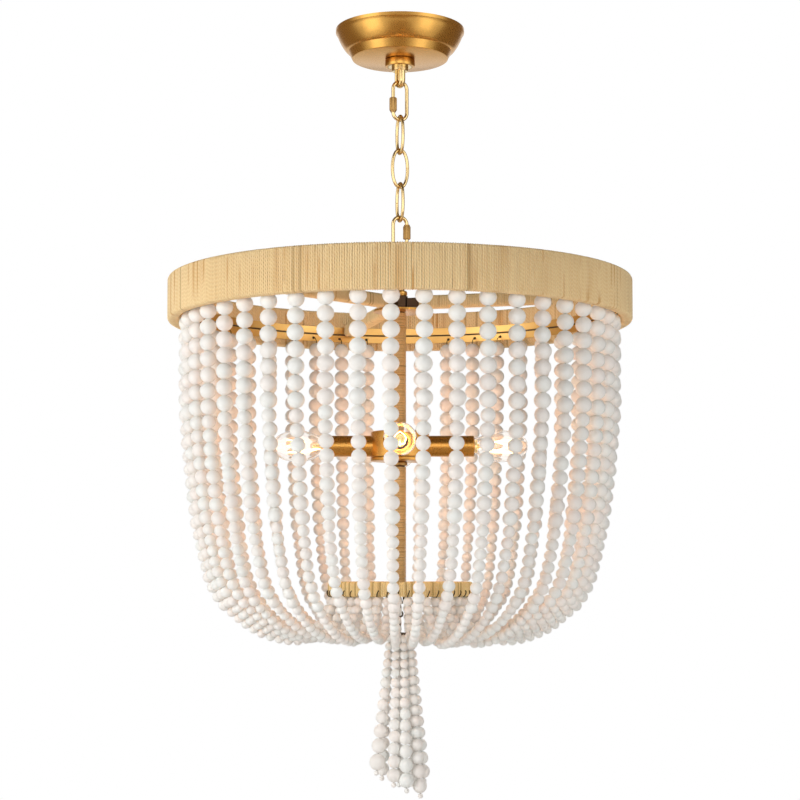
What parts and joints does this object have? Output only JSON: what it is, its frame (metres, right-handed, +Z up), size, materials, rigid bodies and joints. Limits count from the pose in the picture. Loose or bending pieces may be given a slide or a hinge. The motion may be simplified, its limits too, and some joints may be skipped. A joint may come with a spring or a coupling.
{
  "type": "beaded chandelier",
  "caption": "Hanging light: twine-wound drum band with strands of graded wooden beads that curve in under a small ring, four torpedo bulbs inside and a beaded tassel below.",
  "frame": {"origin": "on the axis of the chandelier, in the plane of the ceiling", "axes": "+Z up along the axis, -Y towards the viewer, +X to the viewer's right"},
  "size_m": [0.5087, 0.5089, 0.8439],
  "materials": {
    "steel": "zinc plated",
    "satin_brass": "satin antique brass",
    "pale_brass": "pale brushed brass",
    "dark_brass": "dark bronzed brass",
    "twine": "twisted natural twine, straw to tan with brown streaks",
    "stem_twine": "twisted natural twine, tan",
    "ring_twine": "twisted natural twine, straw yellow",
    "core": "matt dark, out of sight",
    "lampholder": "matt",
    "glass": "clear, polished",
    "black_wire": "dark wire",
    "beads": "white washed, satin"
  },
  "bodies": {
    "ceiling_fitting": {"ceiling_strap": "steel", "strap_nut": "steel", "canopy_nipple": "steel", "canopy_loop": "satin_brass"},
    "canopy": {"canopy": "satin_brass", "canopy_collar": "satin_brass"},
    "upper_link": {"upper_quick_link": "pale_brass"},
    "upper_gate": {"upper_link_nut": "pale_brass"},
    "link_1": {"chain_link_1": "pale_brass"},
    "link_2": {"chain_link_2": "pale_brass"},
    "link_3": {"chain_link_3": "pale_brass"},
    "lower_link": {"lower_quick_link": "pale_brass"},
    "lower_gate": {"lower_link_nut": "pale_brass"},
    "frame": {"frame_loop": "dark_brass", "hub_nut": "satin_brass", "arm_hub": "dark_brass", "hub_disc": "satin_brass", "frame_arm_1": "dark_brass", "frame_arm_2": "dark_brass", "frame_arm_3": "dark_brass", "arm_wrap_1": "twine", "arm_wrap_2": "twine", "arm_wrap_3": "twine", "drum_core": "core", "drum_wrap": "twine", "arm_hoop": "dark_brass", "bead_hoop": "dark_brass", "stem_tube": "dark_brass", "upper_stem_wrap": "stem_twine", "lower_stem_wrap": "stem_twine", "cluster_body": "satin_brass", "cluster_cover": "satin_brass", "cluster_nut": "satin_brass", "socket_sleeve_1": "satin_brass", "socket_sleeve_2": "satin_brass", "socket_sleeve_3": "satin_brass", "socket_sleeve_4": "satin_brass", "lamp_socket_1": "lampholder", "lamp_socket_2": "lampholder", "lamp_socket_3": "lampholder", "lamp_socket_4": "lampholder", "lower_ring_core": "core", "lower_ring_wrap": "ring_twine", "lower_spider": "dark_brass", "stem_end_eye": "black_wire", "bead_strands_1": "beads", "bead_strands_2": "beads", "bead_strands_3": "beads", "bead_strands_4": "beads", "bead_strands_5": "beads", "bead_strands_6": "beads", "bead_strands_7": "beads", "bead_strands_8": "beads", "bead_strands_9": "beads"},
    "bulb_1": {"bulb_1": "glass"},
    "bulb_2": {"bulb_2": "glass"},
    "bulb_3": {"bulb_3": "glass"},
    "bulb_4": {"bulb_4": "glass"},
    "hook": {"tassel_hook": "black_wire"},
    "tassel": {"tassel": "beads"}
  },
  "joints": [
    {"name": "canopy_drop", "type": "slide", "parent": "ceiling_fitting", "child": "canopy", "axis": [0, 0, -1], "range_m": [0, 0.022]},
    {"name": "upper_link_swing", "type": "hinge", "parent": "ceiling_fitting", "child": "upper_link", "pos_m": [0, 0, -0.06255], "axis": [-0.3746, 0.9272, 0], "range_deg": [-12, 12]},
    {"name": "upper_gate_slide", "type": "slide", "parent": "upper_link", "child": "upper_gate", "axis": [0, 0, 1], "range_m": [0, 0.0095]},
    {"name": "link_1_swing", "type": "hinge", "parent": "upper_link", "child": "link_1", "pos_m": [0, 0, -0.1004], "axis": [0.9272, 0.3746, 0], "range_deg": [-12, 12]},
    {"name": "link_2_swing", "type": "hinge", "parent": "link_1", "child": "link_2", "pos_m": [0, 0, -0.1378], "axis": [-0.3746, 0.9272, 0], "range_deg": [-12, 12]},
    {"name": "link_3_swing", "type": "hinge", "parent": "link_2", "child": "link_3", "pos_m": [0, 0, -0.1754], "axis": [0.9272, 0.3746, 0], "range_deg": [-12, 12]},
    {"name": "lower_link_swing", "type": "hinge", "parent": "link_3", "child": "lower_link", "pos_m": [0, 0, -0.213], "axis": [-0.3746, 0.9272, 0], "range_deg": [-12, 12]},
    {"name": "lower_gate_slide", "type": "slide", "parent": "lower_link", "child": "lower_gate", "axis": [0, 0, -1], "range_m": [0, 0.0095]},
    {"name": "frame_swing", "type": "hinge", "parent": "lower_link", "child": "frame", "pos_m": [0, 0, -0.2513], "axis": [0.9272, 0.3746, 0], "range_deg": [-12, 12]},
    {"name": "bulb_1_out", "type": "slide", "parent": "frame", "child": "bulb_1", "axis": [1, 0, 0], "range_m": [0, 0.027]},
    {"name": "bulb_2_out", "type": "slide", "parent": "frame", "child": "bulb_2", "axis": [0, 1, 0], "range_m": [0, 0.027]},
    {"name": "bulb_3_out", "type": "slide", "parent": "frame", "child": "bulb_3", "axis": [-1, 0, 0], "range_m": [0, 0.027]},
    {"name": "bulb_4_out", "type": "slide", "parent": "frame", "child": "bulb_4", "axis": [0, -1, 0], "range_m": [0, 0.027]},
    {"name": "hook_swing", "type": "hinge", "parent": "frame", "child": "hook", "pos_m": [0, 0, -0.6337], "axis": [1, 0, 0], "range_deg": [-20, 20]},
    {"name": "tassel_swing", "type": "hinge", "parent": "hook", "child": "tassel", "pos_m": [0, 0, -0.6445], "axis": [0, 1, 0], "range_deg": [-15, 15]}
  ]
}
